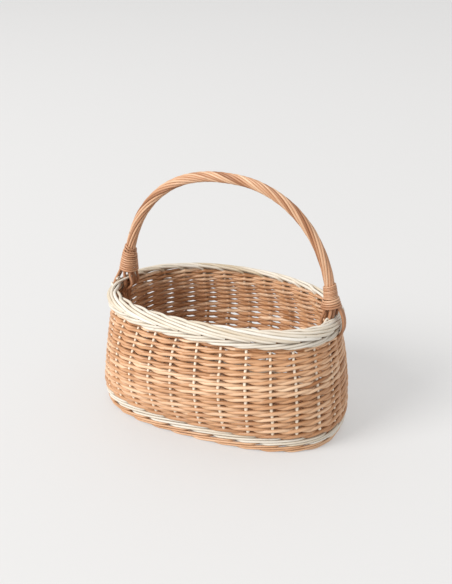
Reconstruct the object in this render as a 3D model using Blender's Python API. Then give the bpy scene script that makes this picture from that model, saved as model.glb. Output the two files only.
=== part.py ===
"""Woven market basket with a fixed roped handle.

Metres, +Z up. The origin is at the middle of the foot, on the surface the basket stands on.
X runs along the oval, in the plane of the handle. Y runs across it.

The wall is stakes held between an outer and an inner layer of weavers. In real pairing the two
weavers of a round change places between stakes. Here each course keeps one solid outside the
stakes and one inside, and both swing out round every stake and meet between two stakes.
"""
import math

import bmesh
import bpy
import numpy as np
from mathutils import Vector

# ---------------------------------------------------------------- driving dimensions
STAKES = 28                  # side stakes, none at the very ends, where the handle stands
STAKE_RADIUS = 0.0020
ROD = 0.0042                 # thickness of one weaver
GAP = 0.0003                 # clearance between two pieces that touch
WALL_HALF = 0.0060           # from the outer face of the wall to the line of the stakes

FOOT_TOP = 0.0115            # top of the buff foot
BAND_TOP = 0.0244            # top of the lower white band
WEAVE_TOP = 0.1637           # top of the buff side weave
WALE_TOP = 0.1760            # top of the upper white wale
BORDER_TOP = 0.1885          # top of the rolled border
COURSES = 4                  # courses of side weave
END_DIP = 0.0044             # how far the rim dips at the two ends

# outer face of the wall: half length, half width, and how square the oval is
FOOT_SIZE = (0.1824, 0.1013)
BAND_SIZE = (0.1889, 0.1014)
TOP_SIZE = (0.1750, 0.1112)
BELLY = (-0.0030, 0.0213)    # how far the middle of the wall stands out at the ends and sides
END_BELLY = 0.0055           # and how much further at the +X end than at the other
SQUARE_BOTTOM = 2.53
SQUARE_TOP = 2.13

POCKET = 0.0026              # from the stake line to a weaver, at a stake
CROSSING = GAP / 2           # the same, midway between stakes, where the two layers meet
WALE_OUT_LOW = 0.0102        # outer face of the upper wale from the stake line, at its bottom
WALE_OUT_HIGH = 0.0128       # and at its top

PLATE_LOW = 0.0060           # underside of the woven base
PLATE_HIGH = 0.0110
SLATH_RADIUS = 0.0022        # base sticks
LONG_STICKS = 3
CROSS_STICKS = 7
STICK_SPACING = (0.0400, 0.0260)
STICK_REACH = (0.1630, 0.0800)

HANDLE_HALF_SPAN = 0.1599    # from the middle of the bow to its centre line at the rim
HANDLE_SHIFT = 0.0030        # the bow stands a little towards the +X end
HANDLE_BASE = 0.1785         # height where the bow's curve begins
HANDLE_TOP = 0.3603          # centre of the bow at its top
HANDLE_SQUARE = (2.27, 2.18)  # how square the bow is, in its -X and +X halves
CORE_RADIUS = 0.0035
CORE_TIP_RADIUS = 0.0024
LEG_FOOT = 0.0900            # height of the lower end of the bow, inside the wall
STRANDS = 10
STRAND_RADIUS = 0.0015
STRAND_ORBIT = 0.0056        # from the middle of the bow to the middle of a strand
STRAND_TURNS = 3.0
STRAND_FOOT = 0.1952         # height where the strands end, at the foot of the collars
COLLAR_LOW = 0.1965
COLLAR_HIGH = 0.2300
COLLAR_BORE = 0.0075
COLLAR_RADII = (0.0140, 0.0128, 0.0112, 0.0101)
LOOP_HALF_WIDTH = 0.0045
LOOP_HALF_THICK = 0.0019

AROUND = STAKES * 2          # plan points: even ones lie between stakes, odd ones at a stake

# ---------------------------------------------------------------- materials
BUFF = (0.62, 0.36, 0.18)
WHITE = (0.82, 0.76, 0.62)
HANDLE_TONE = (0.60, 0.33, 0.16)


def material(name, colour, roughness):
    found = bpy.data.materials.get(name)
    if found:
        return found
    made = bpy.data.materials.new(name)
    made.use_nodes = True
    shader = made.node_tree.nodes["Principled BSDF"]
    shader.inputs["Base Color"].default_value = (*colour, 1.0)
    shader.inputs["Roughness"].default_value = roughness
    shader.inputs["Metallic"].default_value = 0.0
    return made


def buff_willow():
    return material("buff_willow", BUFF, 0.55)


def white_willow():
    return material("white_willow", WHITE, 0.50)


def handle_willow():
    return material("handle_willow", HANDLE_TONE, 0.50)


# ---------------------------------------------------------------- shape of the wall
def mix(low, high, share):
    return low + (high - low) * share


def section(height):
    """The wall's outer face at a height: how far it reaches to -X, to +X and to each side,
    and how square it is."""
    if height < BAND_TOP:
        share = math.sin(0.5 * math.pi * height / BAND_TOP)
        half_length = mix(FOOT_SIZE[0], BAND_SIZE[0], share)
        return half_length, half_length, mix(FOOT_SIZE[1], BAND_SIZE[1], share), SQUARE_BOTTOM
    share = min((height - BAND_TOP) / (WEAVE_TOP - BAND_TOP), 1.0)
    bulge = 4.0 * share * (1.0 - share)
    half_length = mix(BAND_SIZE[0], TOP_SIZE[0], share) + BELLY[0] * bulge
    return (half_length, half_length + END_BELLY * bulge,
            mix(BAND_SIZE[1], TOP_SIZE[1], share) + BELLY[1] * bulge,
            mix(SQUARE_BOTTOM, SQUARE_TOP, share))


def even_steps(outline, count):
    """The same closed outline with points at equal steps along its length."""
    closed = np.vstack([outline, outline[:1]])
    steps = np.hypot(*np.diff(closed, axis=0).T)
    along = np.concatenate([[0.0], np.cumsum(steps)])
    wanted = np.linspace(0.0, along[-1], count, endpoint=False)
    return np.column_stack([np.interp(wanted, along, closed[:, axis]) for axis in (0, 1)])


def normals_of(outline):
    """Outward unit normals of an outline that runs anticlockwise."""
    run = np.roll(outline, -1, axis=0) - np.roll(outline, 1, axis=0)
    run /= np.hypot(*run.T)[:, None]
    return np.column_stack([run[:, 1], -run[:, 0]])


def stake_line(height):
    """Plan points and outward normals along the line of the stakes, from the middle of the
    front long side and round by the +X end."""
    back_length, front_length, half_width, square = section(height)
    angle = np.linspace(-0.5 * np.pi, 1.5 * np.pi, 1440, endpoint=False)
    cosine = np.cos(angle)
    sine = np.sin(angle)
    half_length = np.where(cosine > 0.0, front_length, back_length)
    outline = np.column_stack([
        half_length * np.sign(cosine) * np.abs(cosine) ** (2.0 / square),
        half_width * np.sign(sine) * np.abs(sine) ** (2.0 / square)])
    inner = outline - normals_of(outline) * WALL_HALF
    points = even_steps(inner, AROUND)
    return points, normals_of(points)


def dipped(height, points):
    """Heights of the plan points once the rim's dip at the ends is added."""
    share = min(max((height - BAND_TOP) / (WEAVE_TOP - BAND_TOP), 0.0), 1.0)
    reach = np.abs(points[:, 0]).max()
    return height - END_DIP * share * (points[:, 0] / reach) ** 2


def loop_at(height, distance_at_stake, distance_between):
    """A closed loop of points at a height, at one distance from the stake line at the stakes
    and another between them."""
    points, normals = stake_line(height)
    distance = np.where(np.arange(AROUND) % 2 == 1, distance_at_stake, distance_between)
    moved = points + normals * distance[:, None]
    return np.column_stack([moved, dipped(height, points)])


# ---------------------------------------------------------------- building solids
def add_solid(name, vertices, faces, finish, smooth=True):
    mesh = bpy.data.meshes.new(name)
    mesh.from_pydata([tuple(v) for v in vertices], [], faces)
    work = bmesh.new()
    work.from_mesh(mesh)
    bmesh.ops.recalc_face_normals(work, faces=work.faces)
    bmesh.ops.triangulate(work, faces=[f for f in work.faces if len(f.verts) > 4])
    work.to_mesh(mesh)
    work.free()
    if smooth:
        mesh.shade_smooth()
        mesh.set_sharp_from_angle(angle=math.radians(40.0))
    mesh.materials.append(finish)
    solid = bpy.data.objects.new(name, mesh)
    bpy.context.scene.collection.objects.link(solid)
    return solid


def ring_solid(name, loops, finish):
    """A ring whose cross-section is the closed list of loops, in order."""
    count = len(loops[0])
    vertices = np.vstack(loops)
    faces = []
    for row in range(len(loops)):
        other = (row + 1) % len(loops)
        for i in range(count):
            j = (i + 1) % count
            faces.append((row * count + i, row * count + j, other * count + j, other * count + i))
    return add_solid(name, vertices, faces, finish)


def stacked_solid(name, sections, finish, smooth=True):
    """A closed solid through a stack of cross-sections, with flat ends."""
    count = len(sections[0])
    vertices = np.vstack(sections)
    faces = []
    for row in range(len(sections) - 1):
        for i in range(count):
            j = (i + 1) % count
            low = row * count
            faces.append((low + i, low + j, low + count + j, low + count + i))
    faces.append(tuple(reversed(range(count))))
    last = (len(sections) - 1) * count
    faces.append(tuple(range(last, last + count)))
    return add_solid(name, vertices, faces, finish, smooth)


def polygon_directions(sides, turn=0.0):
    angles = turn + np.arange(sides) * 2.0 * np.pi / sides
    return np.column_stack([np.cos(angles), np.sin(angles)])


# ---------------------------------------------------------------- the woven wall
def course_levels():
    return [mix(BAND_TOP, WEAVE_TOP, i / COURSES) for i in range(COURSES + 1)]


def woven_pair(name, low, high, finish, out_low=None, out_high=None):
    """One course: a layer of weavers outside the stakes and one inside."""
    swing = POCKET - CROSSING
    face_low = out_low if out_low else POCKET + ROD
    face_high = out_high if out_high else POCKET + ROD
    ring_solid(name + "_outer", [
        loop_at(low, POCKET, CROSSING),
        loop_at(low, face_low, face_low - swing),
        loop_at(high, face_high, face_high - swing),
        loop_at(high, POCKET, CROSSING)], finish)
    inner = POCKET + ROD
    ring_solid(name + "_inner", [
        loop_at(low, -POCKET, -CROSSING),
        loop_at(high, -POCKET, -CROSSING),
        loop_at(high, -inner, -(inner - swing)),
        loop_at(low, -inner, -(inner - swing))], finish)


def rolled_border():
    """The border: (distance from the stake line, height) round its cross-section."""
    profile = [(-0.0043, WALE_TOP + GAP), (0.0122, WALE_TOP + GAP), (0.0130, WALE_TOP + 0.0040),
               (0.0100, BORDER_TOP - 0.0018), (0.0045, BORDER_TOP), (-0.0010, BORDER_TOP - 0.0005),
               (-0.0043, BORDER_TOP - 0.0050)]
    loops = [loop_at(height, distance, distance) for distance, height in profile]
    ring_solid("rolled_border", loops, white_willow())


def side_stakes():
    levels = [0.0030, FOOT_TOP, *course_levels(), WALE_TOP]
    lines = [stake_line(level) for level in levels]
    directions = polygon_directions(6) * STAKE_RADIUS
    for k in range(STAKES):
        index = 2 * k + 1
        sections = []
        for level, (points, _) in zip(levels, lines):
            height = dipped(level, points)[index]
            flat = points[index] + directions
            sections.append(np.column_stack([flat, np.full(len(flat), height)]))
        stacked_solid(f"side_stake_{k + 1:02d}", sections, white_willow())


def wall():
    woven_pair("foot_border", 0.0, FOOT_TOP - GAP, buff_willow())
    woven_pair("lower_white_band", FOOT_TOP, BAND_TOP - GAP, white_willow())
    levels = course_levels()
    for i in range(COURSES):
        woven_pair(f"side_weave_{i + 1}", levels[i], levels[i + 1] - GAP, buff_willow())
    woven_pair("upper_white_wale", WEAVE_TOP, WALE_TOP, white_willow(),
               WALE_OUT_LOW, WALE_OUT_HIGH)
    rolled_border()
    side_stakes()


# ---------------------------------------------------------------- base
def stick(name, axis, offset, reach, radius):
    """A round stick along X (axis 0) or Y (axis 1), at the height of the plate's underside."""
    sections = []
    for end in (-reach, reach):
        ring = []
        for across, up in polygon_directions(8, math.pi / 8) * radius:
            point = (end, offset + across) if axis == 0 else (offset + across, end)
            ring.append((*point, PLATE_LOW + up))
        sections.append(np.array(ring))
    return stacked_solid(name, sections, buff_willow())


def join_by_union(target, others):
    for other in others:
        union = target.modifiers.new("union", "BOOLEAN")
        union.operation = "UNION"
        union.object = other
        other.hide_render = True
        other.display_type = "WIRE"


def slath(name, extra):
    """The frame of base sticks: long ones threaded through short ones. extra makes it fatter,
    for the grooves that hold it."""
    radius = SLATH_RADIUS + extra
    sticks = []
    for i in range(LONG_STICKS):
        offset = (i - (LONG_STICKS - 1) / 2) * STICK_SPACING[1]
        label = name if i == 0 else f"{name}_long_{i}"
        reach = STICK_REACH[0] + extra - 0.0150 * abs(i - 1)
        sticks.append(stick(label, 0, offset, reach, radius))
    for i in range(CROSS_STICKS):
        from_middle = abs(i - (CROSS_STICKS - 1) / 2)
        offset = (i - (CROSS_STICKS - 1) / 2) * STICK_SPACING[0]
        reach = STICK_REACH[1] + extra - 0.0035 * from_middle ** 2 / 2
        sticks.append(stick(f"{name}_cross_{i}", 1, offset, reach, radius))
    join_by_union(sticks[0], sticks[1:])
    return sticks[0]


def base_plate():
    edge = -(POCKET + ROD + GAP)
    sections = [loop_at(level, edge, edge) for level in (PLATE_LOW, PLATE_HIGH)]
    plate = stacked_solid("base_weave", sections, buff_willow(), smooth=False)
    groove = slath("groove", GAP)
    groove.hide_render = True
    groove.display_type = "WIRE"
    cut = plate.modifiers.new("grooves", "BOOLEAN")
    cut.operation = "DIFFERENCE"
    cut.object = groove


def base():
    base_plate()
    slath("base_slath", 0.0)


# ---------------------------------------------------------------- handle
def bow_point(angle):
    """Centre of the bow: angle 0 is the +X foot, pi the -X foot."""
    cosine = math.cos(angle)
    sine = math.sin(angle)
    power = 2.0 / HANDLE_SQUARE[cosine > 0.0]
    x = HANDLE_SHIFT + HANDLE_HALF_SPAN * math.copysign(abs(cosine) ** power, cosine)
    z = HANDLE_BASE + (HANDLE_TOP - HANDLE_BASE) * abs(sine) ** power
    return Vector((x, 0.0, z))


def bow_path(foot_height, count):
    """Points at equal steps along the bow between its two crossings of a height."""
    fine = [bow_point(math.pi * i / 2000) for i in range(2001)]
    fine = [p for p in fine if p.z >= foot_height]
    along = [0.0]
    for before, after in zip(fine, fine[1:]):
        along.append(along[-1] + (after - before).length)
    wanted = np.linspace(0.0, along[-1], count)
    xs = np.interp(wanted, along, [p.x for p in fine])
    zs = np.interp(wanted, along, [p.z for p in fine])
    return [Vector((x, 0.0, z)) for x, z in zip(xs, zs)]


def frames_along(path):
    """Unit normals in the plane of the bow, one for each point."""
    normals = []
    for i in range(len(path)):
        run = path[min(i + 1, len(path) - 1)] - path[max(i - 1, 0)]
        normals.append(Vector((run.z, 0.0, -run.x)).normalized())
    return normals


def tube_along(path, radii, sides):
    """Cross-sections of a tube in the plane of the bow; radii holds (in plane, across) pairs."""
    sections = []
    for point, normal, (in_plane, across) in zip(path, frames_along(path), radii):
        ring = [point + normal * (c * in_plane) + Vector((0.0, s * across, 0.0))
                for c, s in polygon_directions(sides)]
        sections.append(np.array([tuple(p) for p in ring]))
    return sections


def leg_x(height, radius, side):
    """Where a leg stands against the inner face of the wall, at one end of the oval."""
    points, _ = stake_line(height)
    inner_face = POCKET + ROD - (POCKET - CROSSING)
    reach = (points[:, 0] * side).max()
    return side * (reach - inner_face - 2.0 * GAP - radius)


def handle_core():
    bow = bow_path(BORDER_TOP + 0.0060, 36)
    heights = [LEG_FOOT, 0.5 * (LEG_FOOT + WEAVE_TOP), WEAVE_TOP, WALE_TOP, BORDER_TOP]
    radii = [CORE_TIP_RADIUS, 0.5 * (CORE_TIP_RADIUS + CORE_RADIUS), *[CORE_RADIUS] * 3]
    right, left = [[Vector((leg_x(h, r, side), 0.0, h - END_DIP)) for h, r in zip(heights, radii)]
                   for side in (1.0, -1.0)]
    path = [*right, *bow, *reversed(left)]
    sizes = [*radii, *[CORE_RADIUS] * len(bow), *reversed(radii)]
    stacked_solid("handle_core", tube_along(path, [(r, r) for r in sizes], 6), handle_willow())


def handle_strands():
    path = bow_path(STRAND_FOOT, 36)
    normals = frames_along(path)
    directions = polygon_directions(5) * STRAND_RADIUS
    across = Vector((0.0, 1.0, 0.0))
    for k in range(STRANDS):
        sections = []
        for i, (point, normal) in enumerate(zip(path, normals)):
            turn = 2.0 * math.pi * (k / STRANDS + STRAND_TURNS * i / (len(path) - 1))
            out = normal * math.cos(turn) + across * math.sin(turn)
            side = across * math.cos(turn) - normal * math.sin(turn)
            centre = point + out * STRAND_ORBIT
            sections.append(np.array([tuple(centre + out * c + side * s) for c, s in directions]))
        stacked_solid(f"handle_strand_{k + 1}", sections, handle_willow())


def collar(name, side):
    """A bound collar: a thick tube that flares down to the border, round core and strands."""
    foot = bow_path(COLLAR_LOW, 400)
    foot = [p for p in foot if p.x * side > 0.0 and p.z <= COLLAR_HIGH]
    foot.sort(key=lambda p: p.z)
    path = [foot[round(i * (len(foot) - 1) / 3)] for i in range(4)]
    outer = tube_along(path, [(r, r) for r in COLLAR_RADII], 16)
    bore = tube_along(path, [(COLLAR_BORE, COLLAR_BORE)] * len(path), 16)
    ring_solid(name, [*outer, *reversed(bore)], handle_willow())


def handle_loop(name, side):
    """The roping that passes outside the border and is tucked in under it."""
    outside = TOP_SIZE[0] - WALL_HALF + 0.0130 + LOOP_HALF_THICK + GAP
    route = [(outside - 0.0107, 0.1932), (outside - 0.0060, 0.1915), (outside - 0.0003, 0.1860),
             (outside + 0.0006, 0.1770), (outside - 0.0006, 0.1690), (outside - 0.0040, 0.1600),
             (outside - 0.0056, 0.1520)]
    path = [Vector((x, 0.0, z)) for x, z in route]
    sections = tube_along(path, [(LOOP_HALF_THICK, LOOP_HALF_WIDTH)] * len(path), 8)
    flip = np.array([side, 1.0, 1.0])
    stacked_solid(name, [ring * flip for ring in sections], handle_willow())


def handle():
    handle_core()
    handle_strands()
    collar("handle_collar_right", 1.0)
    collar("handle_collar_left", -1.0)
    handle_loop("handle_loop_right", 1.0)
    handle_loop("handle_loop_left", -1.0)


# ---------------------------------------------------------------- main
def main():
    for old in list(bpy.data.objects):
        bpy.data.objects.remove(old, do_unlink=True)
    wall()
    base()
    handle()


main()
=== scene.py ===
"""Looks of the woven market basket: every rod of its weave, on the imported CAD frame."""
import math

import bpy
import numpy as np
from mathutils import Matrix, Vector


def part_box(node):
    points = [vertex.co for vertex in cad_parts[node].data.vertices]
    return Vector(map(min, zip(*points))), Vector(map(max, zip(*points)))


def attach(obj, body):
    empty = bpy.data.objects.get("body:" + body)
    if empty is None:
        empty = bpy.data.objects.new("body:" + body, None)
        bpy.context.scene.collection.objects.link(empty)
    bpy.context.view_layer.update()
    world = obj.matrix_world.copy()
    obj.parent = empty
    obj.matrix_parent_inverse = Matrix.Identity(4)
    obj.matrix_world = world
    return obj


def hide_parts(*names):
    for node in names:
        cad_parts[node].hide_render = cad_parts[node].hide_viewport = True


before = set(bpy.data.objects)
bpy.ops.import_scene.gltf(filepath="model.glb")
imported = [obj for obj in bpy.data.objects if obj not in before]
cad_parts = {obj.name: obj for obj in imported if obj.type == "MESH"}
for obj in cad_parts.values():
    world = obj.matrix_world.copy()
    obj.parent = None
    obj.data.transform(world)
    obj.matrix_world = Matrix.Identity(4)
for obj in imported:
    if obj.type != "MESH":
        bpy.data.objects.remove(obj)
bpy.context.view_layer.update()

# ---------------------------------------------------------------- sizes, in metres
STAKES = 28
STAKE_STEP = 0.033           # from one stake to the next, along the wall
GAP = 0.0003                 # between neighbouring layers of the CAD
WALL_HALF = 0.0060           # from the outer face of the CAD wall to the line of the stakes

# the wall's outer face: its half length and half width at three heights
FOOT_SIZE = (0.1824, 0.1013)
BAND_SIZE = (0.1889, 0.1014)
TOP_SIZE = (0.1750, 0.1112)
BELLY = (-0.0030, 0.0213)    # what its middle adds to a straight wall between the last two
END_BELLY = 0.0055           # how much fuller the +X end is than the other
SQUARE_BOTTOM = 2.53         # powers of the superellipse that it is in plan
SQUARE_TOP = 2.13

FOOT_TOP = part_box("lower_white_band_outer")[0].z
BAND_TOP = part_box("side_weave_1_outer")[0].z
WEAVE_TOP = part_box("side_weave_4_outer")[1].z + GAP
BORDER_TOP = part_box("rolled_border")[1].z
RIM_AT_ENDS = 0.1838         # the rim is lower at its two ends than at its sides
END_DIP = BORDER_TOP - GAP - RIM_AT_ENDS

STAKE_RADIUS = 0.0020
STAKE_SHIFT = 0.28           # how far the stakes wander from even steps, in stake spacings
STAKE_START = 0.03           # where the first step begins, in stake spacings
UNSHIFTED = 3.5              # a place, in stake spacings, where they don't wander
STAKE_OUT = 0.0012           # the stakes show a little outside the middle of the wall
LOW_STAKE_OUT = 0.0016       # how much further out they are in the lowest round

ROUNDS = 15                  # rounds of pairing seen outside
HIDDEN_ROUNDS = 2            # more of them, behind the white band
PITCH_SPREAD = 0.20          # how much more than the mean the lowest round takes
ROD_SHARE = 0.266            # radius of a weaver, as a share of its round's pitch
ROD_LENGTH = (7.0, 15.0)     # stakes that one rod passes before the next one follows it
PRESSED = 0.0014             # how far the weavers are pressed into the stakes
SWEEP_POWER = 2.2            # a rod is outside the stakes for longer than it is inside
THICKER_BACK = 0.44          # how much thicker it is inside
TUCKED_SHADE = 0.72          # painted shade on the side of a rod that is hidden from view
CONTACT_SHADE = 0.22         # painted shade where it touches its neighbours

# heights of a weaver above the middle of its round, as shares of the pitch
CROSSING = 0.22              # between stakes, where it crosses its partner, or as far below
FRONT_LIFT = (0.17, 0.07)    # outside a stake, low and high on the wall
BACK_LIFT = 0.29             # inside a stake

FINE = 16                    # plan samples for each stake
LEVEL_COUNT = 77             # levels at which the wall's plan is worked out
STEPS = 18                   # rings of a rod for each stake it passes

rng = np.random.default_rng(20)


# ---------------------------------------------------------------- the wall as a surface
def mix(low, high, share):
    """The value at that share of the way from low to high."""
    return low + (high - low) * share


def unit(vectors):
    """Rows of vectors, each made one long."""
    return vectors / np.maximum(np.linalg.norm(vectors, axis=1), 1e-12)[:, None]


def section(height):
    """The wall's outer face at a height: how far it reaches to -X, to +X and to each side,
    and how square it is."""
    if height < BAND_TOP:
        share = math.sin(0.5 * math.pi * height / BAND_TOP)
        half_length = mix(FOOT_SIZE[0], BAND_SIZE[0], share)
        return half_length, half_length, mix(FOOT_SIZE[1], BAND_SIZE[1], share), SQUARE_BOTTOM
    share = min((height - BAND_TOP) / (WEAVE_TOP - BAND_TOP), 1.0)
    bulge = 4.0 * share * (1.0 - share)
    half_length = mix(BAND_SIZE[0], TOP_SIZE[0], share) + BELLY[0] * bulge
    return (half_length, half_length + END_BELLY * bulge,
            mix(BAND_SIZE[1], TOP_SIZE[1], share) + BELLY[1] * bulge,
            mix(SQUARE_BOTTOM, SQUARE_TOP, share))


def even_steps(points, count, endpoint=True):
    """That many points at even steps of length along a line of points."""
    steps = np.linalg.norm(np.diff(points, axis=0), axis=1)
    along = np.concatenate([[0.0], np.cumsum(steps)])
    wanted = np.linspace(0.0, along[-1], count, endpoint=endpoint)
    return np.column_stack([np.interp(wanted, along, values) for values in points.T])


def normals_of(outline):
    """Outward normals of a closed plan outline that runs anticlockwise."""
    run = np.roll(outline, -1, axis=0) - np.roll(outline, 1, axis=0)
    run /= np.hypot(*run.T)[:, None]
    return np.column_stack([run[:, 1], -run[:, 0]])


def stake_line(height):
    """Plan points and normals at equal steps round the line of the stakes."""
    back_length, front_length, half_width, square = section(height)
    angle = np.linspace(-0.5 * np.pi, 1.5 * np.pi, 1440, endpoint=False)
    cosine = np.cos(angle)
    sine = np.sin(angle)
    half_length = np.where(cosine > 0.0, front_length, back_length)
    outline = np.column_stack([
        half_length * np.sign(cosine) * np.abs(cosine) ** (2.0 / square),
        half_width * np.sign(sine) * np.abs(sine) ** (2.0 / square)])
    inner = outline - normals_of(outline) * WALL_HALF
    points = even_steps(np.vstack([inner, inner[:1]]), STAKES * FINE, endpoint=False)
    return points, normals_of(points)


LEVELS = np.linspace(0.0, BORDER_TOP, LEVEL_COUNT)
GRID = np.array([np.hstack(stake_line(level)) for level in LEVELS])


def on_wall(u, height, out, tilt=1.0):
    """Points at u stake spacings round the wall, a height up it and a distance out from the
    line of the stakes; and the outward normals there, level where tilt is 0."""
    u, height, out = np.broadcast_arrays(np.asarray(u, float), height, out)
    shift = STAKE_SHIFT * np.sin(np.pi * (u - UNSHIFTED) / (STAKES / 2)) ** 2 + STAKE_START
    column = ((u - shift) % STAKES) * FINE
    row = np.clip(height, 0.0, BORDER_TOP) / BORDER_TOP * (LEVEL_COUNT - 1)
    left = np.floor(column).astype(int) % (STAKES * FINE)
    right = (left + 1) % (STAKES * FINE)
    low = np.minimum(np.floor(row).astype(int), LEVEL_COUNT - 2)
    across = (column - np.floor(column))[:, None]
    up = (row - low)[:, None]
    value = mix(mix(GRID[low, left], GRID[low, right], across),
                mix(GRID[low + 1, left], GRID[low + 1, right], across), up)
    plan = value[:, :2]
    level_step = BORDER_TOP / (LEVEL_COUNT - 1)
    lean = mix(GRID[low + 1, left] - GRID[low, left],
               GRID[low + 1, right] - GRID[low, right], across)[:, :2] / level_step
    flat = value[:, 2:] / np.hypot(*value[:, 2:].T)[:, None]
    slope = -np.sum(lean * flat, axis=1) * tilt
    normal = unit(np.column_stack([flat, slope]))
    share = np.clip((height - BAND_TOP) / (WEAVE_TOP - BAND_TOP), 0.0, 1.0)
    dip = END_DIP * share * (plan[:, 0] / (TOP_SIZE[0] - WALL_HALF)) ** 2
    points = np.column_stack([plan, height - dip]) + normal * out[:, None]
    return points, normal


# ---------------------------------------------------------------- rods
SHADE_EDGE = 0.45            # how far the painted shade on one side of a rod reaches round, as a cosine
GRAIN_START = 50.0           # rods begin anywhere in this length of grain
SHARP_ANGLE = 50.0           # degrees between two faces that leave their edge sharp


def tube(spine, radius, reference, closed=False, sides=10, tone=0.5, oval=0.05, tucked=0.0,
         contact=0.0):
    """One rod: its rings, faces, and the attributes that its grain, tone and painted shade come
    from.
    Where tucked is above 0 its outward side is painted in shade, and where it is below, its inward
    one; contact paints shade on the sides that its neighbours touch."""
    count = len(spine)
    if closed:
        tangent = unit(np.roll(spine, -1, axis=0) - np.roll(spine, 1, axis=0))
    else:
        tangent = unit(np.gradient(spine, axis=0))
    reference = np.broadcast_to(reference, spine.shape)
    first = unit(reference - tangent * np.sum(reference * tangent, axis=1)[:, None])
    second = np.cross(tangent, first)
    radius = np.broadcast_to(radius, count)[:, None, None]
    angle = np.arange(sides) * 2.0 * np.pi / sides
    lobes = 1.0 + oval * np.cos(2.0 * angle + rng.uniform(0.0, 2.0 * np.pi))
    cosine = (np.cos(angle) * lobes)[None, :, None]
    sine = (np.sin(angle) * lobes)[None, :, None]
    rings = spine[:, None, :] + radius * (first[:, None, :] * cosine + second[:, None, :] * sine)
    steps = np.linalg.norm(np.diff(spine, axis=0), axis=1)
    along = np.concatenate([[0.0], np.cumsum(steps)]) + rng.uniform(0.0, GRAIN_START)
    grain = np.empty_like(rings)
    grain[:, :, 0] = along[:, None]
    grain[:, :, 1] = (radius * cosine)[:, :, 0]
    grain[:, :, 2] = (radius * sine)[:, :, 0]
    tones = np.repeat(np.broadcast_to(tone, count)[:, None], sides, axis=1)
    tucked = np.broadcast_to(tucked, count)[:, None]
    # painted shade: on the hidden side where tucked asks for it, and on the sides that touch
    # neighbours
    facing = np.abs(tucked) * np.clip(SHADE_EDGE + np.sign(tucked) * np.cos(angle), 0.0, 1.0)
    shades = np.clip(facing + contact * np.sin(angle) ** 4, 0.0, 1.0)
    rows = np.arange(count if closed else count - 1)
    i, j = np.meshgrid(rows, np.arange(sides), indexing="ij")
    k = (i + 1) % count
    m = (j + 1) % sides
    faces = np.stack([i * sides + j, i * sides + m, k * sides + m, k * sides + j], axis=-1)
    faces = [tuple(f) for f in faces.reshape(-1, 4).tolist()]
    if not closed:
        faces.append(tuple(reversed(range(sides))))
        faces.append(tuple(range((count - 1) * sides, count * sides)))
    return (rings.reshape(-1, 3), faces, grain.reshape(-1, 3), tones.reshape(-1),
            shades.reshape(-1))


def piece(name, tubes, finish, nodes):
    """One object made of rods, standing for the CAD nodes that are named."""
    vertices = np.vstack([t[0] for t in tubes])
    starts = np.concatenate([[0], np.cumsum([len(t[0]) for t in tubes])])
    faces = [tuple(int(v + start) for v in face)
             for t, start in zip(tubes, starts) for face in t[1]]
    mesh = bpy.data.meshes.new(name)
    mesh.from_pydata(vertices.tolist(), [], faces)
    grain = mesh.attributes.new("grain", "FLOAT_VECTOR", "POINT")
    grain.data.foreach_set("vector", np.vstack([t[2] for t in tubes]).ravel())
    for index, name_of_value in ((3, "tone"), (4, "shade")):
        values = mesh.attributes.new(name_of_value, "FLOAT", "POINT")
        values.data.foreach_set("value", np.concatenate([t[index] for t in tubes]))
    mesh.shade_smooth()
    mesh.set_sharp_from_angle(angle=math.radians(SHARP_ANGLE))
    mesh.materials.append(finish)
    obj = bpy.data.objects.new(name, mesh)
    bpy.context.scene.collection.objects.link(obj)
    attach(obj, "root")
    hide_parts(*nodes)


def wander(count, size, reach):
    """A smooth random closed series of that size, with bumps about reach samples long."""
    noise = rng.normal(size=count)
    window = np.hanning(max(int(reach), 3))
    window /= np.sqrt(np.sum(window ** 2))
    padded = np.concatenate([noise[-len(window):], noise, noise[:len(window)]])
    return np.convolve(padded, window, "same")[len(window):-len(window)] * size


def rod_tone(low, high, spread):
    """One tone for a whole rod."""
    return np.clip(0.5 + rng.normal() * spread, low, high)


def rod_runs(count, low, high, spread):
    """A closed round is several rods, one after another, each between low and high stakes
    long: the tone of each, and its taper."""
    tone = np.empty(count)
    taper = np.empty(count)
    begin = int(rng.integers(count))
    done = 0
    while done < count:
        length = min(int(rng.uniform(low, high) * STEPS), count - done)
        where = (begin + done + np.arange(length)) % count
        tone[where] = 0.5 + rng.normal() * spread
        taper[where] = rng.uniform(0.97, 1.05) + np.linspace(0.05, -0.06, length)
        done += length
    return np.clip(tone, 0.0, 1.0), taper


def soften(values, reach):
    """A closed series smoothed over a window of that many samples."""
    window = np.hanning(int(reach) + 2)[1:-1]
    window /= window.sum()
    size = len(window)
    padded = np.concatenate([values[-size:], values, values[:size]])
    return np.convolve(padded, window, "same")[size:-size]


# ---------------------------------------------------------------- materials
# noise is stretched along a rod: its scale along it, and twice across it, and its detail
FIBRES = ((90.0, 1700.0, 1700.0), 4.0)
PATCHES = ((22.0, 160.0, 160.0), 2.0)
STAINS = ((70.0, 120.0, 120.0), 1.0)
PATCH_STRENGTH = 0.70
FLECK_RANGE = (0.72, 0.80)      # the stain noise between which a fleck comes in
FLECK_STRENGTH = 0.45
FLECK_DARKNESS = (0.45, 0.45, 0.45)
# painted shade darkens a rod toward its dark colour times these
SHADE_DARKNESS = (0.30, 0.24, 0.20)
ROUGHNESS_SPREAD = (-0.10, 0.12)
BUMP_STRENGTH = 0.35
BUMP_DEPTH = 0.0004
MIX_A, MIX_B, MIX_RESULT = 6, 7, 2      # the colour sockets of a Mix node


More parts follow.
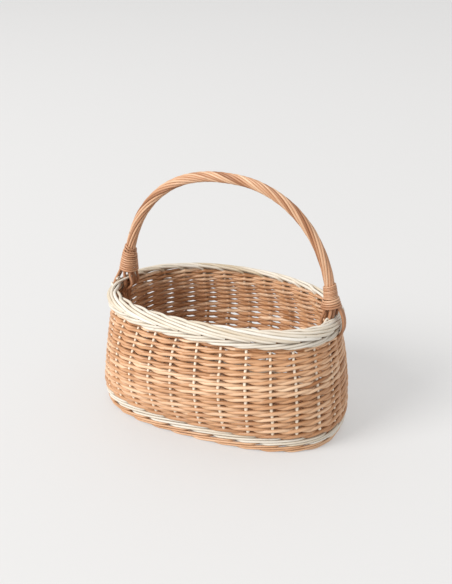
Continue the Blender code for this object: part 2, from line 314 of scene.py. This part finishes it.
def willow(name, dark, middle, light, roughness, streak):
    """Peeled or boiled willow: long fibres, a tone for each rod, a few darker flecks, and painted
    shade.
    """
    made = bpy.data.materials.new(name)
    made.use_nodes = True
    tree = made.node_tree
    shader = tree.nodes["Principled BSDF"]
    link = tree.links.new

    def attribute(kind):
        new = tree.nodes.new("ShaderNodeAttribute")
        new.attribute_name = kind
        return new

    def noise_along(scale, detail):
        mapping = tree.nodes.new("ShaderNodeMapping")
        mapping.inputs["Scale"].default_value = scale
        link(grain.outputs["Vector"], mapping.inputs["Vector"])
        noise = tree.nodes.new("ShaderNodeTexNoise")
        noise.inputs["Scale"].default_value = 1.0
        noise.inputs["Detail"].default_value = detail
        link(mapping.outputs["Vector"], noise.inputs["Vector"])
        return noise.outputs["Fac"]

    def maths(operation, first, second):
        new = tree.nodes.new("ShaderNodeMath")
        new.operation = operation
        for socket, value in zip(new.inputs, (first, second)):
            if isinstance(value, float):
                socket.default_value = value
            else:
                link(value, socket)
        return new.outputs["Value"]

    def ranged(value, given, wanted):
        new = tree.nodes.new("ShaderNodeMapRange")
        for side, start, end in (("From", *given), ("To", *wanted)):
            new.inputs[f"{side} Min"].default_value = start
            new.inputs[f"{side} Max"].default_value = end
        link(value, new.inputs["Value"])
        return new.outputs["Result"]

    def darkened(colour, factor, darkness):
        new = tree.nodes.new("ShaderNodeMix")
        new.data_type = "RGBA"
        new.inputs[MIX_B].default_value = (*[c * d for c, d in zip(dark, darkness)], 1.0)
        link(factor, new.inputs["Factor"])
        link(colour, new.inputs[MIX_A])
        return new.outputs[MIX_RESULT]

    grain = attribute("grain")
    fibres = noise_along(*FIBRES)
    patches = noise_along(*PATCHES)
    stains = noise_along(*STAINS)
    fibre_part = maths("MULTIPLY", maths("SUBTRACT", fibres, 0.5), streak)
    patch_part = maths("MULTIPLY", maths("SUBTRACT", patches, 0.5), PATCH_STRENGTH)
    value = maths("ADD", maths("ADD", attribute("tone").outputs["Fac"], fibre_part), patch_part)
    ramp = tree.nodes.new("ShaderNodeValToRGB")
    ramp.color_ramp.elements[0].color = (*dark, 1.0)
    ramp.color_ramp.elements[1].color = (*light, 1.0)
    ramp.color_ramp.elements.new(0.5).color = (*middle, 1.0)
    link(value, ramp.inputs["Fac"])
    fleck = ranged(stains, FLECK_RANGE, (0.0, FLECK_STRENGTH))
    colour = darkened(ramp.outputs["Color"], fleck, FLECK_DARKNESS)
    # painted shade, as much as the rod's shade attribute asks for
    colour = darkened(colour, attribute("shade").outputs["Fac"], SHADE_DARKNESS)
    link(colour, shader.inputs["Base Color"])
    rough = ranged(fibres, (0.0, 1.0), [roughness + spread for spread in ROUGHNESS_SPREAD])
    link(rough, shader.inputs["Roughness"])
    bump = tree.nodes.new("ShaderNodeBump")
    bump.inputs["Strength"].default_value = BUMP_STRENGTH
    bump.inputs["Distance"].default_value = BUMP_DEPTH
    link(fibres, bump.inputs["Height"])
    link(bump.outputs["Normal"], shader.inputs["Normal"])
    return made


BUFF = willow("buff", (0.36, 0.155, 0.058), (0.61, 0.335, 0.173), (0.82, 0.580, 0.385),
              roughness=0.40, streak=0.60)
WHITE = willow("white", (0.52, 0.415, 0.275), (0.71, 0.645, 0.545), (0.785, 0.755, 0.695),
               roughness=0.42, streak=0.45)
# white willow for the stakes, painted lighter and warmer than WHITE: painted warm light bounced from
# the buff rods, and painted light where they sit in shade between the rods
STAKE_PAINTED_BOUNCE = willow("stake", (0.68, 0.520, 0.350), (0.93, 0.800, 0.640), (0.96, 0.880, 0.760),
               roughness=0.42, streak=0.40)
ROPED = willow("roped", (0.30, 0.125, 0.055), (0.52, 0.270, 0.145), (0.72, 0.480, 0.310),
               roughness=0.40, streak=0.60)


# ---------------------------------------------------------------- the side weave
def round_heights():
    """Pitch and middle height of every round of pairing, lowest first."""
    mean = (WEAVE_TOP - BAND_TOP) / ROUNDS
    middle = (ROUNDS - 1) / 2.0
    pitches = [mean * (1.0 + PITCH_SPREAD * (middle - i) / middle) for i in range(ROUNDS)]
    pitches += [pitches[-1]] * HIDDEN_ROUNDS
    tops = BAND_TOP + np.cumsum(pitches)
    return [(pitch, top - 0.5 * pitch) for pitch, top in zip(pitches, tops)]


def course_nodes(level):
    """The CAD nodes of the wall at a height."""
    if level > WEAVE_TOP:
        return ["upper_white_wale_inner"]
    course = 1 + min(3, int(4.0 * (level - BAND_TOP) / (WEAVE_TOP - BAND_TOP)))
    return [f"side_weave_{course}_outer", f"side_weave_{course}_inner"]


def zigzag(u, rounding):
    """1 at every even whole number and -1 at every odd one, nearly straight between them."""
    sharp = 1.0 - 2.0 * np.abs((u + 1.0) % 2.0 - 1.0)
    return soften(sharp, rounding * STEPS) / (1.0 - 0.3 * rounding)


def sweep(u):
    """1 at every even whole number and -1 at every odd one, staying near 1 for longer."""
    sharp = 1.0 - 2.1 * np.abs((u + 1.0) % 2.0 - 1.0) ** SWEEP_POWER
    return soften(sharp, 0.2 * STEPS)


def pairing():
    """Two rods at a time, twisted a half turn between each stake and the next."""
    count = STAKES * STEPS
    u = np.arange(count) / STEPS
    for i, (pitch, level) in enumerate(round_heights()):
        drift = wander(count, 0.00028, 5 * STEPS)
        rod = ROD_SHARE * pitch
        for side in range(2):
            tone, taper = rod_runs(count, *ROD_LENGTH, 0.21)
            jitter = wander(count, 0.00016, 2 * STEPS)
            swing = sweep(u - 0.5 + side)
            fuller = 1.0 + THICKER_BACK * 0.5 * (1.0 - swing)
            radius = rod * taper * fuller * rng.uniform(0.97, 1.04)
            out = STAKE_OUT + (STAKE_RADIUS + rod - PRESSED) * swing
            turn = zigzag(u - 1.0 + side, 0.3)
            front = mix(*FRONT_LIFT, i / ROUNDS)
            lift = swing * (front * (1.0 + swing) - BACK_LIFT * (1.0 - swing)) / 2.0
            height = level + drift + jitter + pitch * (CROSSING * turn + lift)
            spine, normal = on_wall(u, height, out)
            inside = (STAKE_OUT - out) / (STAKE_RADIUS + rod)
            # painted shade on the outward side of a rod where it passes inside the stakes, and at
            # its contacts
            painted_shade = TUCKED_SHADE * np.clip(1.5 * (inside - 0.1), 0.0, 1.0)
            made = tube(spine, radius, normal, closed=True, tone=tone, tucked=painted_shade,
                        contact=CONTACT_SHADE)
            piece(f"weaver_{i + 1:02d}_{'ab'[side]}", [made], BUFF,
                  course_nodes(level))


CLEAR_OF_FLOOR = 1.15        # radii from the floor to the middle of the lowest rod
PINCH_PLACES = (7.17, 21.17)    # where the handle's feet are, in stake spacings
PINCH_REACH = 1.25           # stake spacings to either side
WALE_PINCH = 0.0030
BORDER_PINCH = 0.0050


def pinched(u, most):
    """How far the top of the wall is drawn in at the feet of the handle."""
    half_round = STAKES / 2
    away = [(u - place + half_round) % STAKES - half_round for place in PINCH_PLACES]
    return most * sum(np.exp(-(d / PINCH_REACH) ** 2) for d in away)


def wale(name, rods, middle, radius, out_front, out_back, finish, nodes, lowest=None,
         pack=0.95, contact=CONTACT_SHADE):
    """Several rods woven together. Each passes in front of all stakes but one, rising as it
    goes, then behind the next stake, and comes out again below the others. Their round is
    centred on a middle height, and stays above the lowest one where that is given; pack is
    the step from one rod to the next, in diameters."""
    count = STAKES * STEPS
    u = np.arange(count) / STEPS
    cycles = round(STAKES / rods)       # whole, so that the rods close their round
    front = rods - 1.0
    half = front * radius * pack
    for j in range(rods):
        phase = (u * cycles * rods / STAKES - j) % rods
        ahead = phase < front
        out = soften(np.where(ahead, out_front, out_back), STEPS * 0.95)
        rising = mix(-half, half, phase / front)
        falling = mix(half, -half, (phase - front) / (rods - front))
        height = middle + soften(np.where(ahead, rising, falling), STEPS * 0.7)
        height = height + wander(count, 0.00018, 2 * STEPS)
        out = out + wander(count, 0.00015, 2 * STEPS)
        if lowest is not None:
            height = np.maximum(height, lowest + CLEAR_OF_FLOOR * radius)
        if middle > WEAVE_TOP:
            out = out - pinched(u, WALE_PINCH)
        tone, taper = rod_runs(count, *ROD_LENGTH, 0.14)
        spine, normal = on_wall(u, height, out, 0.0)
        # painted shade on the outward side of a rod where it goes behind a stake
        painted_shade = TUCKED_SHADE * np.clip(1.0 - out / out_front, 0.0, 1.0)
        made = tube(spine, radius * taper, normal, closed=True, tone=tone, tucked=painted_shade,
                    contact=contact)
        piece(f"{name}_{j + 1}", [made], finish, nodes)


def bands():
    """The foot and the two white bands."""
    foot = 0.00176
    reach = STAKE_RADIUS + foot
    # contact paints shade on the sides where the rods touch: painted dark lines between them
    wale("foot_rod", 4, 0.5 * FOOT_TOP + 0.0003, foot, reach, -reach, BUFF,
         ["foot_border_outer", "foot_border_inner"], lowest=0.0, pack=1.08, contact=0.55)
    low = 0.00198
    reach = STAKE_RADIUS + low
    wale("lower_white_rod", 4, 0.5 * (FOOT_TOP + BAND_TOP), low, reach, -reach, WHITE,
         ["lower_white_band_outer", "lower_white_band_inner"], pack=1.06,
         contact=0.40)
    high = 0.00215
    wale("upper_white_rod", 3, WEAVE_TOP + 0.0050, high, 0.0088, 0.0045, WHITE,
         ["upper_white_wale_outer"], pack=0.9)


# ---------------------------------------------------------------- stakes and border
def stakes():
    """They stand inside the foot and the lower white band, and further out above them."""
    count = 60
    top = WEAVE_TOP + 0.0060
    height = np.linspace(0.0030, top, count)
    levels = (BAND_TOP - 0.0020, BAND_TOP + 0.0050, WEAVE_TOP, top)
    outs = (-0.0012, STAKE_OUT + LOW_STAKE_OUT, STAKE_OUT - 0.0004, STAKE_OUT)
    for k in range(STAKES):
        sway = wander(count, 0.0006, 22)
        spine, normal = on_wall(k + 0.5 + sway / STAKE_STEP, height, np.interp(height, levels, outs))
        radius = STAKE_RADIUS * rng.uniform(0.95, 1.08) * np.linspace(1.32, 0.92, count)
        # tucked below 0 paints shade on the inward side of each stake
        made = tube(spine, radius, normal, tone=rod_tone(0.1, 0.9, 0.12), tucked=-0.4)
        piece(f"stake_{k + 1:02d}", [made], STAKE_PAINTED_BOUNCE, [f"side_stake_{k + 1:02d}"])


# the way of a border rod: stake spacings to the right, height under the top, distance out
BORDER_ROUTE = (
    (0.00, -0.0200, 0.0008), (0.02, -0.0125, 0.0002), (0.14, -0.0080, -0.0018),
    (0.35, -0.0052, -0.0034), (0.75, -0.0036, -0.0042), (1.10, -0.0029, -0.0036),
    (1.35, -0.0023, -0.0012), (1.62, -0.0025, 0.0018), (2.10, -0.0032, 0.0040),
    (2.60, -0.0044, 0.0062), (3.10, -0.0058, 0.0081), (3.60, -0.0075, 0.0096),
    (4.10, -0.0093, 0.0106), (4.60, -0.0110, 0.0110), (5.00, -0.0124, 0.0100),
    (5.20, -0.0134, 0.0084))
BORDER_RADII = (0.00222, 0.00206)       # at its foot and at its end


def smooth_route(route, count):
    """A Catmull-Rom curve through a route, in even steps of its length."""
    points = np.array(route, float)
    padded = np.vstack([2 * points[0] - points[1], points, 2 * points[-1] - points[-2]])
    parts = []
    for i in range(1, len(padded) - 2):
        before, start, end, after = padded[i - 1:i + 3]
        t = np.linspace(0.0, 1.0, 24, endpoint=False)[:, None]
        parts.append(0.5 * (2 * start + (end - before) * t
                            + (2 * before - 5 * start + 4 * end - after) * t ** 2
                            + (3 * start - before - 3 * end + after) * t ** 3))
    return even_steps(np.vstack([*parts, points[-1:]]), count)


def border():
    """Each stake is laid down to the right: inside the next one, over the top, down the
    outside past three more, and in under the others."""
    count = 110
    scale = np.array([STAKE_STEP, 1.0, 1.0])
    for k in range(STAKES):
        route = np.array(BORDER_ROUTE) * scale
        route[3:, 1:] += rng.normal(size=(len(route) - 3, 2)) * 0.00016
        way = smooth_route(route, count) / scale
        u = k + 0.5 + way[:, 0]
        outer = np.clip(way[:, 2] / 0.0060, 0.0, 1.0)
        spine, normal = on_wall(u, BORDER_TOP + way[:, 1],
                                way[:, 2] - pinched(u, BORDER_PINCH) * outer, 0.0)
        radius = np.linspace(*BORDER_RADII, count) * rng.uniform(0.97, 1.04)
        made = tube(spine, radius, normal, tone=rod_tone(0.1, 0.95, 0.14))
        piece(f"border_rod_{k + 1:02d}", [made], WHITE, ["rolled_border"])


# ---------------------------------------------------------------- base
BASE_LEVEL = 0.0060
BASE_ROUNDS = 11
BASE_PITCH = 0.0070
BASE_START = 0.0095          # from the line of the stakes in to the first round
BASE_ROD = 0.0017
BASE_SPINE = 0.52            # length of the middle line that the sticks point to, as a share
MIDDLE_ROWS = 9              # rods woven across the middle of the base
MIDDLE_ROD = 0.0020
MIDDLE_ROW_STEP = 0.0042
MIDDLE_HALF_LENGTH = 0.098
CROSS_STICKS = 9
CROSS_STICK = 0.0019
CROSS_STEP = 0.0200
CROSS_HALF_LENGTH = 0.022
UPWARD = (0.0, 0.0, 1.0)


def on_base(u, inward, height):
    """Points on the base plate, a distance in from the line of the stakes."""
    edge, _ = on_wall(u, BASE_LEVEL, 0.0)
    middle = np.column_stack([edge[:, 0] * BASE_SPINE, np.zeros(len(edge)), np.zeros(len(edge))])
    ray = edge - middle
    ray[:, 2] = 0.0
    length = np.linalg.norm(ray, axis=1)[:, None]
    points = edge - ray / length * np.broadcast_to(inward, len(edge))[:, None]
    points[:, 2] = height
    return points


def base_rounds():
    """Rods woven in pairs round the sticks, from the edge of the base inward."""
    count = STAKES * STEPS
    u = np.arange(count) / STEPS
    for i in range(BASE_ROUNDS):
        inward = BASE_START + BASE_PITCH * i
        for side in range(2):
            tone, taper = rod_runs(count, 6.0, 12.0, 0.16)
            turn = np.pi * (u - 0.5 + side)
            spine = on_base(u, inward + 1.02 * BASE_ROD * np.sin(turn),
                            BASE_LEVEL + 2.0 * BASE_ROD * np.cos(turn))
            made = tube(spine, BASE_ROD * taper, UPWARD, closed=True, sides=8, tone=tone)
            piece(f"base_weaver_{i + 1:02d}_{'ab'[side]}", [made], BUFF,
                  ["base_weave"])


def base_sticks():
    """One stick from each stake inward."""
    count = 30
    inward = np.linspace(0.0, BASE_START + BASE_PITCH * BASE_ROUNDS - 0.0040, count)
    for k in range(STAKES):
        spine = on_base(np.full(count, k + 0.5), inward, BASE_LEVEL)
        made = tube(spine, BASE_ROD, UPWARD, tone=0.4 + 0.2 * rng.random())
        piece(f"base_stick_{k + 1:02d}", [made], BUFF, ["base_slath"])


def base_middle():
    """The rows along the middle of the base, over and under its short cross sticks."""
    x = np.linspace(-MIDDLE_HALF_LENGTH, MIDDLE_HALF_LENGTH, 120)
    for r in range(MIDDLE_ROWS):
        y = (r - (MIDDLE_ROWS - 1) / 2) * MIDDLE_ROW_STEP
        z = BASE_LEVEL + 0.0016 * np.cos(np.pi * (x / CROSS_STEP + r))
        spine = np.column_stack([x, np.full(len(x), y), z])
        made = tube(spine, MIDDLE_ROD, UPWARD, sides=8, tone=0.3 + 0.4 * rng.random())
        piece(f"base_middle_rod_{r + 1}", [made], BUFF, ["base_weave"])
    y = np.linspace(-CROSS_HALF_LENGTH, CROSS_HALF_LENGTH, 12)
    for c in range(CROSS_STICKS):
        x = (c - (CROSS_STICKS - 1) / 2) * CROSS_STEP
        spine = np.column_stack([np.full(len(y), x), y, np.full(len(y), BASE_LEVEL)])
        made = tube(spine, CROSS_STICK, UPWARD, tone=0.4 + 0.2 * rng.random())
        piece(f"base_cross_stick_{c + 1}", [made], BUFF, ["base_slath"])


# ---------------------------------------------------------------- handle
HANDLE_HALF_SPAN = 0.1599
HANDLE_SHIFT = 0.0030
HANDLE_BASE = 0.1785
HANDLE_TOP = 0.3603
HANDLE_SQUARE = (2.27, 2.18)    # powers of its curve at the -X limb and at the +X one
LIMB_FOOT = 0.1790           # height above which a collar can be on a limb
STRANDS = 10
STRAND_RADIUS = 0.00178
STRAND_ORBIT = 0.0056        # from the middle of the bow to the middle of a rod
STRAND_TURNS = 3.0           # turns of a rod round the bow, from foot to foot
FOOT_LAY = 0.55              # how fast the rods turn at the feet of the bow
TOP_LAY = 1.05               # how much faster at its top
LAY_TOP = 0.47               # where that is, and its reach, as shares of the bow's length
LAY_REACH = 0.24
STRAND_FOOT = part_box("handle_strand_1")[0].z
COLLAR_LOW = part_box("handle_collar_right")[0].z
ACROSS = np.array([0.0, 1.0, 0.0])
LEG_INSIDE = 0.0067          # from the line of the stakes in to the middle of a leg


def bow(angle):
    """Centre of the bow: angle 0 is the +X foot, pi the -X foot."""
    cosine = np.cos(angle)
    sine = np.sin(angle)
    power = 2.0 / np.where(cosine > 0.0, HANDLE_SQUARE[1], HANDLE_SQUARE[0])
    x = HANDLE_SHIFT + HANDLE_HALF_SPAN * np.sign(cosine) * np.abs(cosine) ** power
    z = HANDLE_BASE + (HANDLE_TOP - HANDLE_BASE) * np.abs(sine) ** power
    return np.column_stack([x, np.zeros(len(x)), z])


def bow_path(foot, count):
    """Points at equal steps along the bow, from the +X foot at that height to the -X one."""
    fine = bow(np.linspace(0.0, np.pi, 4001))
    return even_steps(fine[fine[:, 2] >= foot], count)


def outward(path):
    """Normals of the bow in its own plane, away from its middle."""
    tangent = unit(np.gradient(path, axis=0))
    return np.column_stack([tangent[:, 2], np.zeros(len(path)), -tangent[:, 0]])


def roping():
    """Ten rods laid round the bow like a rope, more steeply over its top than at its feet."""
    count = 300
    path = bow_path(STRAND_FOOT, count)
    normal = outward(path)
    share = np.linspace(0.0, 1.0, count)
    lay = FOOT_LAY + TOP_LAY * np.exp(-((share - LAY_TOP) / LAY_REACH) ** 2)
    turns = np.concatenate([[0.0], np.cumsum(0.5 * (lay[1:] + lay[:-1]))])
    turns *= STRAND_TURNS / turns[-1]
    for k in range(STRANDS):
        turn = 2.0 * np.pi * (k / STRANDS + turns) + wander(count, 0.02, 60)
        out = normal * np.cos(turn)[:, None] + ACROSS * np.sin(turn)[:, None]
        spine = path + out * (STRAND_ORBIT + wander(count, 0.00012, 40))[:, None]
        radius = STRAND_RADIUS * (1.0 + wander(count, 0.02, 40))
        tone = np.clip(0.5 + rng.normal() * 0.16 + wander(count, 0.05, 90), 0.05, 0.95)
        made = tube(spine, radius, out, sides=12, tone=tone)
        piece(f"roping_rod_{k + 1:02d}", [made], ROPED,
              [f"handle_strand_{k + 1}", "handle_core"])


def collar_frame(side, height):
    """Centre of the bow and its normal at a height on one of its limbs."""
    fine = bow_path(LIMB_FOOT, 4000)
    both = np.hstack([fine, outward(fine)])
    both = both[fine[:, 0] * side > 0.0]
    both = both[np.argsort(both[:, 2])]
    found = np.column_stack([np.interp(height, both[:, 2], values) for values in both.T])
    return found[:, :3], unit(found[:, 3:])


def binding(side, low, high, turns, radius, inner_low, inner_high, start, tilt):
    """One thin rod wound round a limb of the handle, between two heights, its inner side at
    a distance from the middle of the limb at each; its turns start at an angle and lean."""
    count = int(turns * 36)
    share = np.linspace(0.0, 1.0, count)
    turn = 2.0 * np.pi * turns * share + start
    height = mix(low, high, share) + tilt * np.cos(turn) + wander(count, 0.00012, 30)
    centre, out = collar_frame(side, height)
    around = out * np.cos(turn)[:, None] + ACROSS * np.sin(turn)[:, None] * side
    distance = mix(inner_low, inner_high, share) + radius
    spine = centre + around * distance[:, None]
    tone = np.clip(0.5 + rng.normal() * 0.08 + wander(count, 0.10, 50), 0.05, 0.95)
    return tube(spine, radius * (1.0 + wander(count, 0.03, 20)), around, tone=tone)


# from low to high on each limb, in the order that binding takes its values
BINDINGS = {
    "right": (1.0, ((COLLAR_LOW + 0.0016, 0.2110, 4.4, 0.00145, 0.0124, 0.0088, 0.4, 0.0010),
                    (0.2105, 0.2290, 9.0, 0.00100, 0.0084, 0.0074, 1.0, 0.0008))),
    "left": (-1.0, ((COLLAR_LOW + 0.0048, 0.2280, 8.4, 0.00150, 0.0118, 0.0080, 0.2, 0.0012),
                    (0.2275, 0.2360, 2.0, 0.00110, 0.0078, 0.0070, 2.4, 0.0026),
                    (0.2365, 0.2275, 2.0, 0.00110, 0.0070, 0.0080, 0.9, 0.0026)))}


def collars():
    """The bindings round the feet of the handle. At the left the last two cross each other."""
    for label, (side, rows) in BINDINGS.items():
        made = [binding(side, *row) for row in rows]
        piece(f"collar_binding_{label}", made, ROPED,
              [f"handle_collar_{label}"])


def bent_rod(route, radius_low, radius_high, tone, reference=(0.0, 1.0, 0.0)):
    """A rod along a smooth curve through the places of a route."""
    count = 60
    radius = np.linspace(radius_low, radius_high, count)
    return tube(smooth_route(route, count), radius, reference, tone=tone)


def leg_x(height, side):
    """Where a leg is along X when it is pushed down inside the end of the wall."""
    points, _ = stake_line(height)
    return side * ((points[:, 0] * side).max() - LEG_INSIDE)


# the ends of the bow's rods under the collars: across the basket, out from the limb's middle
# at the collar and at the rim, and how far down they reach
LEGS = ((-0.0100, 0.0020, 0.0030, 0.050), (-0.0048, 0.0050, 0.0050, 0.100),
        (-0.0010, -0.0058, -0.0030, 0.085), (0.0048, 0.0030, 0.0030, 0.070),
        (0.0098, -0.0076, -0.0050, 0.060), (0.0062, -0.0034, -0.0030, 0.060),
        (0.0100, 0.0062, 0.0060, 0.050), (-0.0088, -0.0070, -0.0070, 0.050))


def legs(side, label):
    """The ends of the bow's rods, spread below the collar and pushed down inside the wall."""
    limb = side * HANDLE_HALF_SPAN + HANDLE_SHIFT
    for i, (y, at_collar, at_rim, reach) in enumerate(LEGS):
        low = BORDER_TOP - reach
        middle = mix(low, BORDER_TOP, 0.5)
        high = BORDER_TOP - 0.020
        route = [(leg_x(low, side), y * 0.6, low - END_DIP),
                 (leg_x(middle, side), y * 0.9, middle - END_DIP),
                 (leg_x(high, side), y * 1.1, high - END_DIP),
                 (limb + side * (at_rim - 0.0030), y * 1.2, BORDER_TOP - 0.006 - END_DIP),
                 (limb + side * at_collar, y, BORDER_TOP + 0.004),
                 (limb + side * at_collar, y * 0.85, BORDER_TOP + 0.014)]
        # the legs' low tone is painted shade: they are darker than the roping rods whose ends they
        # are
        made = bent_rod(route, 0.0014, 0.0024, 0.10 + 0.25 * rng.random())
        piece(f"handle_leg_{label}_{i + 1}", [made], ROPED, ["handle_core"])


# the rods that leave a collar on its outer side and are tucked into the weave: at the right
# end outside the border, at the left one through the middle of it. Each place is along X,
# how far the three rods are spread there, and height.
LOOPS = {
    "right": ((0.1712, 0.7, 0.2050), (0.1738, 0.8, 0.1990), (0.1776, 1.0, 0.1940),
              (0.1802, 1.0, 0.1880), (0.1820, 1.0, 0.1810), (0.1826, 1.0, 0.1740),
              (0.1818, 1.0, 0.1670), (0.1792, 0.9, 0.1600), (0.1750, 0.8, 0.1540)),
    "left": ((-0.1664, 0.8, 0.2060), (-0.1686, 1.0, 0.2000), (-0.1716, 1.2, 0.1930),
             (-0.1752, 1.3, 0.1860), (-0.1786, 1.3, 0.1800), (-0.1812, 1.0, 0.1740),
             (-0.1820, 1.0, 0.1680), (-0.1802, 0.9, 0.1610), (-0.1770, 0.8, 0.1560))}
LOOP_SPREAD = 0.0034
DARKEST_LOOP = {"right": 0.20, "left": 0.15}


def outer_loops():
    """Three rods side by side in each loop."""
    for i in range(3):
        for label, places in LOOPS.items():
            y = (i - 1) * LOOP_SPREAD
            route = [(x, y * spread, z) for x, spread, z in places]
            made = bent_rod(route, 0.0020, 0.0018, DARKEST_LOOP[label] + 0.3 * rng.random())
            piece(f"handle_loop_rod_{label}_{i + 1}", [made], ROPED,
                  [f"handle_loop_{label}"])


# ends of border rods that cross between the legs of the handle, inside and outside
CROSSING_ENDS = {
    "left_1": ((-0.1560, -0.0560, 0.1740), (-0.1612, -0.0450, 0.1800),
               (-0.1622, -0.0250, 0.1850), (-0.1506, -0.0010, 0.1900)),
    "left_2": ((-0.1670, -0.0050, 0.1640), (-0.1690, -0.0060, 0.1760),
               (-0.1700, -0.0070, 0.1850), (-0.1690, -0.0160, 0.1870)),
    "left_3": ((-0.1760, -0.0180, 0.1800), (-0.1700, -0.0280, 0.1830),
               (-0.1610, -0.0320, 0.1770), (-0.1560, -0.0320, 0.1660)),
    "right_1": ((0.1590, -0.0230, 0.1770), (0.1612, -0.0160, 0.1840),
                (0.1630, -0.0130, 0.1845), (0.1660, -0.0090, 0.1770))}


def crossing_ends():
    for name, route in CROSSING_ENDS.items():
        made = bent_rod(route, 0.0015, 0.0016, 0.40 + 0.2 * rng.random(), (1.0, 0.1, 0.2))
        piece(f"crossing_rod_{name}", [made], WHITE, ["rolled_border"])


# ---------------------------------------------------------------- camera, light, floor
VIEW_AZIMUTH = 24.183           # degrees, like the next two
VIEW_ELEVATION = 23.313
VIEW_ROLL = 0.447
VIEW_DISTANCE = 1.27706
VIEW_AIM = (0.00364, 0.18981)   # to the right of the origin, and up
LENS_MM = 54.44
KEY_PLACE = (-7.2, 4.4, 5.8)    # to the right of the basket, toward the camera, and up
KEY_AIM = (0.0, 0.0, 0.12)
KEY_SIZE = 5.5
KEY_POWER = 980.0
KEY_COLOUR = (1.0, 0.985, 0.965)
SKY_COLOUR = (1.0, 0.99, 0.98, 1.0)
SKY_STRENGTH = 0.73
FLOOR_COLOUR = (0.41, 0.41, 0.41, 1.0)
FLOOR_GLOW = (1.0, 0.995, 0.99, 1.0)
FLOOR_GLOW_STRENGTH = 0.345     # keeps the shadow on the floor pale


def view_axes():
    """Right, up and back, toward the camera, as the camera has them before its roll."""
    azimuth = math.radians(VIEW_AZIMUTH)
    elevation = math.radians(VIEW_ELEVATION)
    back = Vector((math.sin(azimuth) * math.cos(elevation),
                   -math.cos(azimuth) * math.cos(elevation), math.sin(elevation)))
    right = (-back).cross(Vector((0.0, 0.0, 1.0))).normalized()
    return right, right.cross(-back), back


def camera():
    right, up, back = view_axes()
    roll = math.radians(VIEW_ROLL)
    rolled_right = right * math.cos(roll) + up * math.sin(roll)
    rolled_up = up * math.cos(roll) - right * math.sin(roll)
    data = bpy.data.cameras.new("camera")
    data.lens = LENS_MM
    data.clip_end = 60.0
    obj = bpy.data.objects.new("camera", data)
    place = right * VIEW_AIM[0] + Vector((0.0, 0.0, VIEW_AIM[1])) + back * VIEW_DISTANCE
    axes = [rolled_right, rolled_up, back]
    rows = [[*[a[i] for a in axes], place[i]] for i in range(3)]
    obj.matrix_world = Matrix([*rows, [0.0, 0.0, 0.0, 1.0]])
    bpy.context.scene.collection.objects.link(obj)
    bpy.context.scene.camera = obj


def lights():
    """One large soft key light from the upper left, and a pale sky."""
    right, _, back = view_axes()
    toward = Vector((back.x, back.y, 0.0)).normalized()
    high = Vector((0.0, 0.0, 1.0))
    place = right * KEY_PLACE[0] + toward * KEY_PLACE[1] + high * KEY_PLACE[2]
    data = bpy.data.lights.new("key", "AREA")
    data.shape = "DISK"
    data.size = KEY_SIZE
    data.energy = KEY_POWER
    data.color = KEY_COLOUR
    obj = bpy.data.objects.new("key", data)
    obj.location = place
    obj.rotation_euler = (Vector(KEY_AIM) - place).to_track_quat("-Z", "Y").to_euler()
    bpy.context.scene.collection.objects.link(obj)
    world = bpy.data.worlds.new("studio")
    world.use_nodes = True
    background = world.node_tree.nodes["Background"]
    background.inputs["Color"].default_value = SKY_COLOUR
    background.inputs["Strength"].default_value = SKY_STRENGTH
    bpy.context.scene.world = world


def floor():
    bpy.ops.mesh.primitive_plane_add(size=30.0, location=(0.0, 0.0, 0.0))
    obj = bpy.context.object
    obj.name = "floor"
    made = bpy.data.materials.new("floor")
    made.use_nodes = True
    shader = made.node_tree.nodes["Principled BSDF"]
    shader.inputs["Base Color"].default_value = FLOOR_COLOUR
    shader.inputs["Roughness"].default_value = 0.75
    shader.inputs["Emission Color"].default_value = FLOOR_GLOW
    shader.inputs["Emission Strength"].default_value = FLOOR_GLOW_STRENGTH
    obj.data.materials.append(made)


# ---------------------------------------------------------------- main
def main():
    camera()
    lights()
    floor()
    bpy.context.scene.view_settings.view_transform = "Standard"
    pairing()
    bands()
    stakes()
    border()
    base_rounds()
    base_sticks()
    base_middle()
    roping()
    collars()
    for side, label in ((1.0, "right"), (-1.0, "left")):
        legs(side, label)
    outer_loops()
    crossing_ends()


main()
